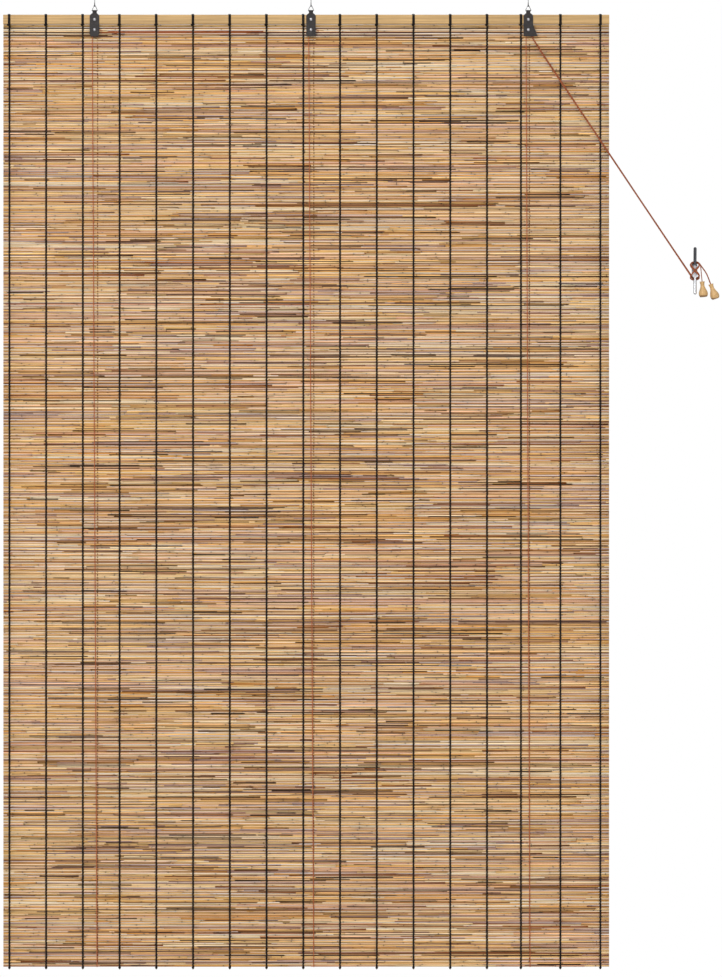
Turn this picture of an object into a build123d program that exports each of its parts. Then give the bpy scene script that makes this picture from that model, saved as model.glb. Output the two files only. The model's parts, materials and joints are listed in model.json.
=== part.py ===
from build123d import *
import math
import os

# A hanging blind woven from reeds, hooked under a ceiling or lintel at three
# stations, with lift cords over sheaves and a pull cord tied off on a wall cleat.
# Millimetres. +Z up, the front of the blind faces -Y. The origin is on the shank
# of the middle screw hook, in the ceiling plane.

# the blind
width = 1400.0
drop = 2200.0
centre_x = -11.0
rail_height = 22.0
rail_thick = 16.0
rail_round = 2.5
reed_d = 4.4
reed_y = 2.0
lace_gap = 2.36
row_gap = 0.5

# the black warp cords that bind the reeds
warp_d = 2.6
warp_gap = 0.1
warp_even = 14
warp_left_margin = 13.9
warp_right_margins = (282.4, 204.0, 112.8, 20.3)
wrap_width = 5.6
wrap_thick = 2.0
wrap_under = 1.4
warp_knot_d = 7.0

# the three hanging stations
station_left = -500.0
station_right = 502.0
seat = 0.3

# screw hook
hook_wire = 2.0
bowl_r = 4.0
hook_stem = 4.0
thread_d = 2.8
thread_length = 14.0
thread_point = 4.0

# wire link
link_wire = 1.6
link_rise = 12.7
link_half = 7.1
link_corner = 1.6

# bracket
plate = 1.2
neck_rise = 8.9
neck_half = 4.7
flare_half = 5.2
plate_half = 11.0
shoulder_half = 8.8
bracket_reach = 50.5
back_reach = 43.0
wing_top = 24.0
wing_half = 21.8
corner_cut = 3.0

# rivets, axle and sheave
rivet_drop = 11.0
rivet_d = 4.0
rivet_head = 7.0
rivet_dome = 1.9
axle_drop = 34.7
axle_d = 3.0
axle_fit = 0.06
axle_collar = 4.6
axle_tail = 5.5
axle_tail_thick = 1.0
collar_thick = 0.6
hole_fit = 0.05
groove_r = 4.0
flange_r = 6.3
sheave_half = 2.2
groove_half = 1.6

# cords
cord_d = 2.0
pair_d = 2.8
anchor_x = (5.8, 5.8, 3.2)
anchor_drop = 38.5
anchor_hole = 2.6
anchor_knot = 4.6
foot_x = (5.6, 6.4, 4.2)
run_row = 4
run_gap = 0.4

# cleat, screws and knobs
wall_y = 20.0
cleat_x = 887.5
cleat_drop = 591.6
cleat_length = 110.0
horn_d = 7.2
horn_y = 3.5
horn_bow = 5.0
body_half_x = 5.0
body_half_z = 16.0
body_front = 4.0
foot_half_x = 6.5
foot_half_z = 19.0
foot_thick = 2.5
screw_d = 3.6
screw_neck_d = 2.8
screw_hole_d = 4.2
screw_head = 7.0
screw_pitch = 18.0
screw_reach = 16.0
screw_fit = 0.1
slot_width = 1.0
slot_deep = 1.2
knob_length = 36.0
knob_bore = 3.6
knob_well = 9.0
knob_well_deep = 12.0
stop_knot = 6.0

# places that follow from these
fold_r = link_wire / 2 + seat
apex_r = hook_wire / 2 + seat + link_wire / 2
bowl_z = -(hook_stem + math.sqrt(3) * bowl_r)
swing_z = bowl_z - bowl_r + apex_r
link_z = swing_z - link_rise
top_z = link_z - neck_rise
foot_z = top_z - drop
left_x = centre_x - width / 2
right_x = centre_x + width / 2
mat_height = drop - rail_height - row_gap
rows = int(mat_height / (reed_d + lace_gap))
row_pitch = mat_height / rows
reed_front = reed_y - reed_d / 2
reed_back = reed_y + reed_d / 2
rail_front = -rail_thick / 2
rail_back = rail_thick / 2
axle_z = top_z - axle_drop
groove_y = rail_front + collar_thick + seat + sheave_half
cord_r = cord_d / 2
wrap_r = groove_r + cord_r + seat
stations = {"left": station_left, "middle": 0.0, "right": station_right}


def row_z(number):
    """Height of a reed row's centre, counted from 1 at the head rail."""
    return top_z - rail_height - row_gap - (number - 0.5) * row_pitch


def gap_z(number):
    """Height of the gap under a reed row."""
    return row_z(number) - row_pitch / 2


def apex_height(half, rise, radius):
    """Height of a triangle whose rounded tip, of that radius, reaches rise above its base."""
    level = rise - radius
    share = (radius / half) ** 2
    root = math.sqrt(level**2 - (1 - share) * (level**2 - radius**2))
    return (level + root) / (1 - share)


def save(piece, label):
    """Labels one sub-part and writes it."""
    piece.label = label
    export_step(piece, f"parts/{label}.step")


def bend_radii(points):
    """The largest tangent arc at each corner of a cord's route."""
    radii = []
    for before, corner, after in zip(points, points[1:], points[2:]):
        run_in = Vector(*corner) - Vector(*before)
        run_out = Vector(*after) - Vector(*corner)
        turn = math.radians(run_in.get_angle(run_out))
        shorter = min(run_in.length, run_out.length)
        radii.append(0.45 * shorter / math.tan(turn / 2))
    return radii


def cord_tube(points, diameter, radii):
    """A round cord along straight runs joined by tangent arcs."""
    with BuildPart() as tube:
        with BuildLine() as route:
            FilletPolyline(*points, radius=radii)
        with BuildSketch(Plane(origin=route.line @ 0, z_dir=route.line % 0)):
            Circle(diameter / 2)
        sweep(path=route.line)
    return tube.part, sum(edge.length for edge in route.edges())


def free_cord(label, points, diameter):
    """A cord that hangs or lies free, with its radii and length printed."""
    radii = bend_radii(points)
    tube, length = cord_tube(points, diameter, radii)
    section = math.pi * diameter**2 / 4
    print(label, "radii", [round(r, 1) for r in radii], "length", round(length, 1))
    print(label, "volume over section times length", round(tube.volume / section / length, 5))
    save(tube, label)


os.makedirs("parts", exist_ok=True)

# ---- head rail -----------------------------------------------------------------
with BuildPart() as headrail:
    with BuildSketch(Plane.YZ.offset(left_x)):
        with Locations((0, top_z - rail_height / 2)):
            RectangleRounded(rail_thick, rail_height, rail_round)
    extrude(amount=width)
    with BuildSketch(Plane.XZ.offset(-rail_back)):
        with Locations(*[(x, top_z - rivet_drop) for x in stations.values()]):
            Circle(rivet_d / 2 + hole_fit)
    extrude(amount=rail_thick, mode=Mode.SUBTRACT)
save(headrail.part, "headrail")

# ---- reed mat: one round bundle of reeds for each row ---------------------------
with BuildPart() as reed_mat:
    with BuildSketch(Plane.YZ.offset(left_x)):
        with Locations(*[(reed_y, row_z(number + 1)) for number in range(rows)]):
            Circle(reed_d / 2)
    extrude(amount=width)
save(reed_mat.part, "reed_mat")


# ---- warp cords ----------------------------------------------------------------
def warp_cord(x):
    """One warp: a wrap round the head rail, a strand down each face and a knot under the foot."""
    inner_top = top_z + warp_gap
    inner_low = top_z - rail_height - warp_gap
    inner_side = rail_back + warp_gap
    knot_z = row_z(rows) - reed_d / 2 - warp_gap - warp_knot_d / 2
    strand_top = inner_low - wrap_under / 2
    with BuildPart() as warp:
        with BuildSketch(Plane.YZ.offset(x - wrap_width / 2)):
            with BuildLine():
                Polyline(
                    (-inner_side - wrap_thick, inner_low - wrap_under),
                    (-inner_side - wrap_thick, inner_top + wrap_thick),
                    (inner_side + wrap_thick, inner_top + wrap_thick),
                    (inner_side + wrap_thick, inner_low - wrap_under),
                    close=True,
                )
            make_face()
            with Locations((0, (inner_top + inner_low) / 2)):
                Rectangle(2 * inner_side, inner_top - inner_low, mode=Mode.SUBTRACT)
        extrude(amount=wrap_width)
        for strand_y in (reed_front - warp_gap - warp_d / 2, reed_back + warp_gap + warp_d / 2):
            with BuildSketch(Plane.XY.offset(knot_z)):
                with Locations((x, strand_y)):
                    Circle(warp_d / 2)
            extrude(amount=strand_top - knot_z)
        with Locations((x, reed_y, knot_z)):
            Sphere(warp_knot_d / 2)
    return warp.part


warp_first = left_x + warp_left_margin
warp_pitch = (right_x - warp_right_margins[0] - warp_first) / (warp_even - 1)
warp_xs = [warp_first + warp_pitch * number for number in range(warp_even)]
warp_xs += [right_x - margin for margin in warp_right_margins[1:]]
for number, warp_x in enumerate(warp_xs, start=1):
    save(warp_cord(warp_x), f"warp_cord_{number:02d}")


# ---- screw hooks ---------------------------------------------------------------
def screw_hook(x):
    """A screw hook seen from its edge: threaded shank, stem and open bowl."""
    start = math.radians(60)
    bend = (bowl_r * math.cos(start), bowl_z + bowl_r * math.sin(start))
    with BuildPart() as hook:
        with BuildLine(Plane.YZ) as route:
            Line((0, 0), (0, -hook_stem))
            TangentArc((0, -hook_stem), bend, tangent=(0, -1))
            CenterArc((0, bowl_z), bowl_r, 60, -240)
        with BuildSketch(Plane(origin=(0, 0, 0), z_dir=(0, 0, -1))):
            Circle(hook_wire / 2)
        sweep(path=route.line)
        with Locations((0, -bowl_r, bowl_z)):
            Sphere(hook_wire / 2)
        with BuildSketch(Plane.XZ):
            with BuildLine():
                Polyline(
                    (0, 0),
                    (thread_d / 2, 0),
                    (thread_d / 2, thread_length),
                    (0, thread_length + thread_point),
                    close=True,
                )
            make_face()
        revolve(axis=Axis.Z)
    return Pos(x, 0, 0) * hook.part


# ---- hanging links ---------------------------------------------------------------
def hanging_link(x):
    """A triangular wire link, its tip round the hook and its base in the bracket's fold."""
    height = apex_height(link_half, link_rise, apex_r)
    corners = [(x - link_half, link_z), (x, link_z + height), (x + link_half, link_z)]
    with BuildPart() as link:
        with BuildLine(Plane.XZ) as route:
            FilletPolyline(*corners, radius=[link_corner, apex_r, link_corner], close=True)
        with BuildSketch(Plane(origin=route.line @ 0, z_dir=route.line % 0)):
            Circle(link_wire / 2)
        sweep(path=route.line)
    return link.part


# ---- brackets --------------------------------------------------------------------
def bracket(x, foot_shape, cord_x):
    """One strip folded over the link: a long front leaf and a shorter back leaf."""
    leaf = rail_back
    shoulder = top_z + 0.5
    height = apex_height(leaf, link_z + fold_r - shoulder, fold_r)
    low = top_z - bracket_reach
    side = [
        (flare_half, link_z + 2 * (fold_r + plate)),
        (flare_half, top_z + 9.0),
        (neck_half, top_z + 6.5),
        (neck_half, top_z + 4.0),
        (shoulder_half, top_z + 0.5),
        (plate_half, top_z - 3.0),
    ]
    square = [(plate_half, low)]
    tapered = [(plate_half, low + 2 * corner_cut), (plate_half - corner_cut, low)]
    wing = [(plate_half, top_z - wing_top), (wing_half, low)]
    ends = {"square": (square, square), "tapered": (tapered, tapered), "wing": (square, wing)}
    left_end, right_end = ends[foot_shape]
    right_side = [(x + u, z) for u, z in side + right_end]
    left_side = [(x - u, z) for u, z in side + left_end]
    back_low = top_z - back_reach
    back_right = [(x + u, z) for u, z in side + [(plate_half, back_low)]]
    back_left = [(x - u, z) for u, z in side + [(plate_half, back_low)]]
    with BuildPart() as outline:
        with BuildSketch(Plane.XZ):
            with BuildLine():
                Polyline(*right_side, *reversed(left_side), close=True)
            make_face()
        extrude(amount=2 * leaf)
        with BuildSketch(Plane.XZ):
            with BuildLine():
                Polyline(*back_right, *reversed(back_left), close=True)
            make_face()
        extrude(amount=-2 * leaf)
    with BuildPart() as strip:
        with BuildSketch(Plane.YZ.offset(x - 2 * wing_half)):
            with BuildLine():
                FilletPolyline(
                    (-leaf, low),
                    (-leaf, shoulder),
                    (0, shoulder + height),
                    (leaf, shoulder),
                    (leaf, back_low),
                    radius=[fold_r, fold_r, fold_r],
                )
                offset(amount=plate, side=Side.LEFT)
            make_face()
        extrude(amount=4 * wing_half)
        add(outline.part, mode=Mode.INTERSECT)
        with BuildSketch(Plane.XZ.offset(-2 * leaf)):
            with Locations((x, top_z - rivet_drop)):
                Circle(rivet_d / 2 + hole_fit)
        extrude(amount=4 * leaf, mode=Mode.SUBTRACT)
        with BuildSketch(Plane.XZ):
            with Locations((x, axle_z)):
                Circle(axle_d / 2 + hole_fit)
        extrude(amount=2 * leaf, mode=Mode.SUBTRACT)
        with BuildSketch(Plane.XZ):
            with Locations((x + cord_x, top_z - anchor_drop)):
                Circle(anchor_hole / 2)
        extrude(amount=-2 * leaf, mode=Mode.SUBTRACT)
    return strip.part


# ---- rivets, axles and sheaves -----------------------------------------------------
def dome(y_face, direction, z):
    """Half of a rivet head's section, an arc from its rim to its crown."""
    half = rivet_head / 2
    radius = (half**2 + rivet_dome**2) / (2 * rivet_dome)
    centre_y = y_face + direction * (rivet_dome - radius)
    middle = math.asin(half / radius) / 2
    rim = (y_face, z + half)
    shoulder = (centre_y + direction * radius * math.cos(middle), z + radius * math.sin(middle))
    crown = (y_face + direction * rivet_dome, z)
    ThreePointArc(rim, shoulder, crown)


def mounting_rivet(x):
    """The upper rivet, through both leaves and the head rail."""
    z = top_z - rivet_drop
    front = rail_front - plate
    back = rail_back + plate
    with BuildPart() as rivet:
        with BuildSketch(Plane.YZ.offset(x)):
            with BuildLine():
                dome(front, -1, z)
                Polyline(
                    (front, z + rivet_head / 2),
                    (front, z + rivet_d / 2),
                    (back, z + rivet_d / 2),
                    (back, z + rivet_head / 2),
                )
                dome(back, 1, z)
                Line((back + rivet_dome, z), (front - rivet_dome, z))
            make_face()
        revolve(axis=Axis((x, 0, z), (0, 1, 0)))
    return rivet.part


def sheave_axle(x):
    """The lower rivet: a stud clinched in the front leaf that carries the sheave."""
    front = rail_front - plate
    collar_back = rail_front + collar_thick
    tail_front = groove_y + sheave_half + seat
    tail_back = tail_front + axle_tail_thick
    with BuildPart() as axle:
        with BuildSketch(Plane.YZ.offset(x)):
            with BuildLine():
                dome(front, -1, axle_z)
                Polyline(
                    (front, axle_z + rivet_head / 2),
                    (front, axle_z + axle_d / 2),
                    (rail_front, axle_z + axle_d / 2),
                    (rail_front, axle_z + axle_collar / 2),
                    (collar_back, axle_z + axle_collar / 2),
                    (collar_back, axle_z + axle_d / 2),
                    (tail_front, axle_z + axle_d / 2),
                    (tail_front, axle_z + axle_tail / 2),
                    (tail_back, axle_z + axle_tail / 2),
                    (tail_back, axle_z),
                    (front - rivet_dome, axle_z),
                )
            make_face()
        revolve(axis=Axis((x, 0, axle_z), (0, 1, 0)))
    return axle.part


def sheave(x):
    """A grooved wheel on the stud."""
    bore = axle_d / 2 + axle_fit
    with BuildPart() as wheel:
        with BuildSketch(Plane.YZ.offset(x)):
            with BuildLine():
                Polyline(
                    (groove_y + groove_half, axle_z + flange_r),
                    (groove_y + sheave_half, axle_z + flange_r),
                    (groove_y + sheave_half, axle_z + bore),
                    (groove_y - sheave_half, axle_z + bore),
                    (groove_y - sheave_half, axle_z + flange_r),
                    (groove_y - groove_half, axle_z + flange_r),
                )
                ThreePointArc(
                    (groove_y - groove_half, axle_z + flange_r),
                    (groove_y, axle_z + groove_r),
                    (groove_y + groove_half, axle_z + flange_r),
                )
            make_face()
        revolve(axis=Axis((x, 0, axle_z), (0, 1, 0)))
    return wheel.part


# ---- lift cords ----------------------------------------------------------------
def over_sheave(x, wrap, corners):
    """Corners of the cord's route round a sheave, from its left side over the top."""
    half = wrap / corners / 2
    reach = wrap_r / math.cos(half)
    angles = [math.pi - half * (2 * step + 1) for step in range(corners)]
    return [(x + reach * math.cos(a), groove_y, axle_z + reach * math.sin(a)) for a in angles]


def lift_cord(name, x, cord_x, under_x, wrap, corners, onward, onward_radii):
    """A lift cord: knotted behind its bracket, down the back, under the foot, up and over."""
    under_z = row_z(rows) - reed_d / 2 - seat - cord_r
    front_y = reed_front - seat - cord_r
    back_y = reed_back + seat + cord_r
    hole_z = top_z - anchor_drop
    knot_y = rail_back + plate + anchor_knot / 2
    points = [
        (x + cord_x, knot_y, hole_z),
        (x + cord_x, back_y, hole_z),
        (x + under_x, back_y, under_z),
        (x + under_x, front_y, under_z),
    ]
    points += over_sheave(x, wrap, corners) + onward
    fold = 0.49 * (back_y - front_y)
    turn_r = 0.98 * wrap_r
    radii = [2 * cord_r, fold, fold] + [turn_r] * corners + onward_radii
    tube = cord_tube(points, cord_d, radii)[0]
    with BuildPart() as cord:
        add(tube)
        with Locations((x + cord_x, knot_y, hole_z)):
            Sphere(anchor_knot / 2)
    save(cord.part, f"lift_cord_{name}")


first_run_y = rail_back + run_gap
run_y = (first_run_y, first_run_y + cord_d + run_gap)
behind_z = row_z(run_row)
exit_x = station_right + 7.6
exit_z = top_z - 51.0
through_z = gap_z(run_row)
pair_y = -2.0
pair_z = through_z - 4.5


def behind_to_exit(x, run, end_x):
    """From a sheave back through the mat, along behind it and forward at the right-hand bracket."""
    return [
        (x + 13.0, groove_y, gap_z(2)),
        (x + 13.0 + run - groove_y, run, gap_z(2)),
        (x + 60.0, run, behind_z),
        (station_right - 30.0, run, behind_z),
        (end_x - 4.5, run, through_z),
        (end_x, reed_y, through_z),
        (end_x, pair_y, through_z),
        (end_x, pair_y, pair_z),
    ]


behind_radii = [5.0, 5.0, 40.0, 40.0, 4.0, 3.0, 1.6]
down_wrap = math.radians(125)
first_pair_x = exit_x + 1.4
pair_x = (first_pair_x, first_pair_x + cord_d + seat)
lift_cord(
    "left", station_left, anchor_x[0], foot_x[0], down_wrap, 2,
    behind_to_exit(station_left, run_y[0], pair_x[0]), behind_radii,
)
lift_cord(
    "middle", 0.0, anchor_x[1], foot_x[1], down_wrap, 2,
    behind_to_exit(0.0, run_y[1], pair_x[1]), behind_radii,
)
lift_cord(
    "right", station_right, anchor_x[2], foot_x[2], math.radians(171), 3,
    [(exit_x, groove_y, exit_z)], [],
)

# ---- the three stations ------------------------------------------------------------
foot_shapes = {"left": "tapered", "middle": "square", "right": "wing"}
for number, (name, station_x) in enumerate(stations.items()):
    save(screw_hook(station_x), f"screw_hook_{name}")
    save(hanging_link(station_x), f"hanging_link_{name}")
    save(bracket(station_x, foot_shapes[name], anchor_x[number]), f"bracket_{name}")
    save(mounting_rivet(station_x), f"mounting_rivet_{name}")
    save(sheave_axle(station_x), f"sheave_axle_{name}")
    save(sheave(station_x), f"sheave_{name}")

# ---- wall cleat ------------------------------------------------------------------
cleat_z = top_z - cleat_drop
cleat_front = horn_y - body_front
screw_zs = [cleat_z + screw_pitch / 2, cleat_z - screw_pitch / 2]
tip = cleat_length / 2 - horn_d / 2
head_depth = (screw_head - screw_neck_d) / 2
with BuildPart() as cleat:
    with BuildLine(Plane.YZ.offset(cleat_x)) as horns:
        ThreePointArc(
            (horn_y - horn_bow, cleat_z + tip),
            (horn_y, cleat_z),
            (horn_y - horn_bow, cleat_z - tip),
        )
    with BuildSketch(Plane(origin=horns.line @ 0, z_dir=horns.line % 0)):
        Circle(horn_d / 2)
    sweep(path=horns.line)
    with Locations(horns.line @ 0, horns.line @ 1):
        Sphere(horn_d / 2)
    with BuildSketch(Plane.XZ.offset(-wall_y)):
        with Locations((cleat_x, cleat_z)):
            RectangleRounded(2 * body_half_x, 2 * body_half_z, body_half_x - 0.5)
    extrude(amount=wall_y - cleat_front)
    with BuildSketch(Plane.XZ.offset(-wall_y)):
        with Locations((cleat_x, cleat_z)):
            RectangleRounded(2 * foot_half_x, 2 * foot_half_z, foot_half_x - 0.5)
    extrude(amount=foot_thick)
    with BuildSketch(Plane.XZ.offset(-wall_y)):
        with Locations(*[(cleat_x, z) for z in screw_zs]):
            Circle(screw_hole_d / 2)
    extrude(amount=wall_y + horn_d, mode=Mode.SUBTRACT)
    for screw_z in screw_zs:
        with Locations(Plane(origin=(cleat_x, cleat_front, screw_z), z_dir=(0, -1, 0))):
            with Locations((0, 0, -(head_depth + screw_fit) / 2)):
                Cone(
                    screw_neck_d / 2 + screw_fit,
                    screw_head / 2 + screw_fit,
                    head_depth + screw_fit,
                    mode=Mode.SUBTRACT,
                )
save(cleat.part, "cleat")

# ---- cleat screws ------------------------------------------------------------------
with BuildPart() as cleat_screws:
    for screw_z in screw_zs:
        with BuildSketch(Plane.YZ.offset(cleat_x)):
            with BuildLine():
                Polyline(
                    (cleat_front, screw_z),
                    (cleat_front, screw_z + screw_head / 2),
                    (cleat_front + head_depth, screw_z + screw_neck_d / 2),
                    (wall_y, screw_z + screw_neck_d / 2),
                    (wall_y, screw_z + screw_d / 2),
                    (wall_y + screw_reach, screw_z + screw_d / 2),
                    (wall_y + screw_reach + screw_d, screw_z),
                    close=True,
                )
            make_face()
        revolve(axis=Axis((cleat_x, 0, screw_z), (0, 1, 0)))
        with BuildSketch(Plane.XZ.offset(-cleat_front)):
            with Locations((cleat_x, screw_z)):
                Rectangle(screw_head - 2, slot_width)
                Rectangle(slot_width, screw_head - 2)
        extrude(amount=-slot_deep, mode=Mode.SUBTRACT)
save(cleat_screws.part, "cleat_screws")

# ---- the winding on the cleat --------------------------------------------------------
loop_r = 10.5
loop_rise = 11.5
waist = 12.0
winding_front = cleat_front - seat - 5.0
winding_back = horn_y + horn_d / 2 + seat + 5.0
with BuildPart() as cord_winding:
    with BuildSketch(Plane.XZ.offset(-winding_back)):
        with Locations((cleat_x, cleat_z + loop_rise), (cleat_x, cleat_z - loop_rise)):
            Circle(loop_r)
        with Locations((cleat_x, cleat_z)):
            Rectangle(waist, 2 * loop_rise)
    extrude(amount=winding_back - winding_front)
    with BuildSketch(Plane.XZ.offset(-winding_back)):
        with Locations((cleat_x, cleat_z)):
            Rectangle(2 * (body_half_x + seat), 2 * (body_half_z + seat))
    extrude(amount=winding_back - cleat_front + seat, mode=Mode.SUBTRACT)
    with BuildSketch(Plane.XY.offset(cleat_z - cleat_length / 2)):
        with Locations((cleat_x, horn_y - horn_bow / 4)):
            Rectangle(horn_d + 2 * seat, horn_d + horn_bow / 2 + 2 * seat)
    extrude(amount=cleat_length, mode=Mode.SUBTRACT)
save(cord_winding.part, "cord_winding")

# ---- pull cords, from the right-hand bracket to the cleat ----------------------------
pull_single = [
    (exit_x + 0.2, groove_y, exit_z - 0.4),
    (station_right + 16.6, -6.2, top_z - 66.2),
    (station_right + 39.8, -8.4, top_z - 104.0),
    (cleat_x - 11.7, -5.0, cleat_z - 9.9),
]
pull_pair = [
    (pair_x[0] + 1.4, pair_y - 0.1, pair_z - 1.15),
    (station_right + 18.2, -3.8, top_z - 66.0),
    (station_right + 41.4, -6.0, top_z - 103.0),
    (cleat_x - 11.5, -2.6, cleat_z - 8.2),
]
free_cord("pull_cord_single", pull_single, cord_d)
free_cord("pull_cord_pair", pull_pair, pair_d)

# ---- tails and knobs -----------------------------------------------------------------
single_tail = [
    (cleat_x + 11.9, 1.0, cleat_z + 13.6),
    (cleat_x + 13.6, 1.8, cleat_z + 6.4),
    (cleat_x + 14.8, 3.6, cleat_z - 8.0),
]
single_top = (cleat_x + 16.4, 3.6, cleat_z - 24.4)
pair_tail = [
    (cleat_x + 10.4, 5.0, cleat_z + 17.2),
    (cleat_x + 16.2, 5.4, cleat_z + 9.0),
    (cleat_x + 25.0, 5.8, cleat_z - 2.6),
    (cleat_x + 31.4, 6.0, cleat_z - 15.6),
]
pair_top = (cleat_x + 36.6, 6.0, cleat_z - 30.4)


def knob(top, lean):
    """A turned wooden pull, bored through, with a well for the stopper knot."""
    with BuildPart() as turned_knob:
        with BuildSketch(Plane.XZ):
            with BuildLine():
                Spline(
                    (6.1, 0),
                    (5.3, -3.2),
                    (4.6, -8.0),
                    (7.0, -17.0),
                    (10.4, -26.5),
                    (10.2, -31.5),
                    (7.4, -knob_length),
                )
                Polyline((7.4, -knob_length), (0, -knob_length), (0, 0), (6.1, 0))
            make_face()
        revolve(axis=Axis.Z)
        with BuildSketch(Plane.XY):
            Circle(knob_bore / 2)
        extrude(amount=-knob_length, mode=Mode.SUBTRACT)
        with BuildSketch(Plane.XY.offset(-knob_length)):
            Circle(knob_well / 2)
        extrude(amount=knob_well_deep, mode=Mode.SUBTRACT)
    return Plane(origin=top, x_dir=(math.cos(lean), 0, math.sin(lean)), z_dir=(
        -math.sin(lean), 0, math.cos(lean))) * turned_knob.part


def knob_and_tail(number, label, tail, knob_top, diameter, lean):
    """A tail of the pull cord, the knob on it and the stopper knot in the knob's well."""
    top = Vector(*knob_top)
    down = Vector(math.sin(lean), 0, -math.cos(lean))
    seat_depth = knob_length - knob_well_deep
    stop = top + down * (seat_depth + seat + stop_knot / 2)
    free_cord(label, tail + [tuple(top + down * seat_depth)], diameter)
    save(knob(top, lean), f"pull_knob_{number}")
    with BuildPart() as stopper:
        with Locations(stop):
            Sphere(stop_knot / 2)
    save(stopper.part, f"stopper_knot_{number}")


knob_and_tail(1, "tail_cord_single", single_tail, single_top, cord_d, math.radians(6))
knob_and_tail(2, "tail_cord_pair", pair_tail, pair_top, pair_d, math.radians(19))
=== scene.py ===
"""A reed roll up blind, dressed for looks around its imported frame. Metres, front faces -Y."""
import json
import math
import random

import bpy
import numpy as np
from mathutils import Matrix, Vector


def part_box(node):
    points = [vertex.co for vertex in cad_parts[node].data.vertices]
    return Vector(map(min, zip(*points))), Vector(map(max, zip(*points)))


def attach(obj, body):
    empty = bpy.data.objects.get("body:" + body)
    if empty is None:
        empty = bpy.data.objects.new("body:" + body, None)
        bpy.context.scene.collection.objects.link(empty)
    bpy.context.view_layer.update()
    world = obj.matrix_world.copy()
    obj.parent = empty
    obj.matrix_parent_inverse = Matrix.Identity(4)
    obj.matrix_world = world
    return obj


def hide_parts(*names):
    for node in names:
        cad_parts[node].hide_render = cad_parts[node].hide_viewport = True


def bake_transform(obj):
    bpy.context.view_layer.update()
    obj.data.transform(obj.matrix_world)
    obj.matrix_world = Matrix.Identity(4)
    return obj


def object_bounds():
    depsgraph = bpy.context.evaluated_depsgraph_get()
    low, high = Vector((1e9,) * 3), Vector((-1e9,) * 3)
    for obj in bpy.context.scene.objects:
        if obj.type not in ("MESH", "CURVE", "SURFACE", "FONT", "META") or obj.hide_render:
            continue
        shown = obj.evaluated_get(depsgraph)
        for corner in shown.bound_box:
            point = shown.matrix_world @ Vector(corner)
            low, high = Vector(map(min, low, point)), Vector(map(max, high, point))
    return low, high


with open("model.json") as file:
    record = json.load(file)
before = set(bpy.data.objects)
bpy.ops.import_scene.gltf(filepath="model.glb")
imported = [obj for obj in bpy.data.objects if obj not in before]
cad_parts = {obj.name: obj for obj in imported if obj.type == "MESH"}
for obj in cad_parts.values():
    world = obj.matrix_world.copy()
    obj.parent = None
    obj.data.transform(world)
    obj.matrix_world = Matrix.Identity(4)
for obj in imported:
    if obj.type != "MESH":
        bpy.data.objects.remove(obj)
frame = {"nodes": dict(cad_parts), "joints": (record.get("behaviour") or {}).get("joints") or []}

cad_box = [list(corner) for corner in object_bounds()]
MM = 0.001

# ---- sizes and places ----------------------------------------------------------------
STATIONS = ("left", "middle", "right")
ROWS = 322
WARPS = 17
rail_low, rail_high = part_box("headrail")
mat_low, mat_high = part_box("reed_mat")
cleat_low, cleat_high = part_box("cleat")
cleat_centre = (cleat_low + cleat_high) / 2
joint_at = {joint["name"]: Vector(joint["pos_m"]) for joint in frame["joints"]}
top = rail_high.z / MM
right_station = joint_at["sheave_spin_right"].x / MM
cleat_x = cleat_centre.x / MM
cleat_z = cleat_centre.z / MM
bundle = mat_high.y - mat_low.y
mat_y = (mat_low.y + mat_high.y) / 2
row_pitch = (mat_high.z - mat_low.z - bundle) / (ROWS - 1)
first_row = mat_high.z - bundle / 2


def metres(points):
    """A list of points in millimetres, as vectors in metres."""
    return [Vector(point) * MM for point in points]


# ---- camera, light and floor ---------------------------------------------------------
VIEW_WIDTH = 1.6685
VIEW_SHAPE = 977 / 722
VIEW_DISTANCE = 12.0
VIEW_SIDESTEP = 0.001
SURROUND_FRONT = 0.95
SURROUND_SIDE = 0.25
FLOOR_DROP = 0.35


def add_camera():
    """A long lens, square on to the blind, with the ceiling plane at the frame's top edge."""
    data = bpy.data.cameras.new("camera")
    data.sensor_fit = "HORIZONTAL"
    data.sensor_width = 36.0
    data.lens = data.sensor_width * VIEW_DISTANCE / VIEW_WIDTH
    data.clip_end = 60.0
    camera = bpy.data.objects.new("camera", data)
    middle = (cad_box[0][0] + cad_box[1][0]) / 2
    camera.location = (middle - VIEW_SIDESTEP, -VIEW_DISTANCE, -VIEW_WIDTH * VIEW_SHAPE / 2)
    camera.rotation_euler = (math.pi / 2, 0, 0)
    bpy.context.scene.collection.objects.link(camera)
    bpy.context.scene.camera = camera


def add_area_light(name, spot, target, size, power):
    """A soft square light that faces a target."""
    data = bpy.data.lights.new(name, "AREA")
    data.size = size
    data.energy = power
    light = bpy.data.objects.new(name, data)
    light.location = spot
    light.rotation_euler = (Vector(target) - Vector(spot)).to_track_quat("-Z", "Y").to_euler()
    bpy.context.scene.collection.objects.link(light)


def add_world():
    """A white surround that falls off to grey at the sides, so that metal shows its edges."""
    world = bpy.data.worlds.new("surround")
    world.use_nodes = True
    tree = world.node_tree
    direction = node(tree, "ShaderNodeTexCoord").outputs["Generated"]
    sideways = calc(tree, "ABSOLUTE", axis_value(tree, direction, 0))
    light = remap(tree, sideways, 0.35, 0.8, SURROUND_FRONT, SURROUND_SIDE)
    seen = node(tree, "ShaderNodeLightPath").outputs["Is Camera Ray"]
    strength = node(tree, "ShaderNodeMix", {0: seen, 2: light, 3: 1.0}).outputs[0]
    background = tree.nodes["Background"]
    background.inputs["Color"].default_value = (1.0, 1.0, 1.0, 1.0)
    tree.links.new(strength, background.inputs["Strength"])
    bpy.context.scene.world = world


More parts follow.
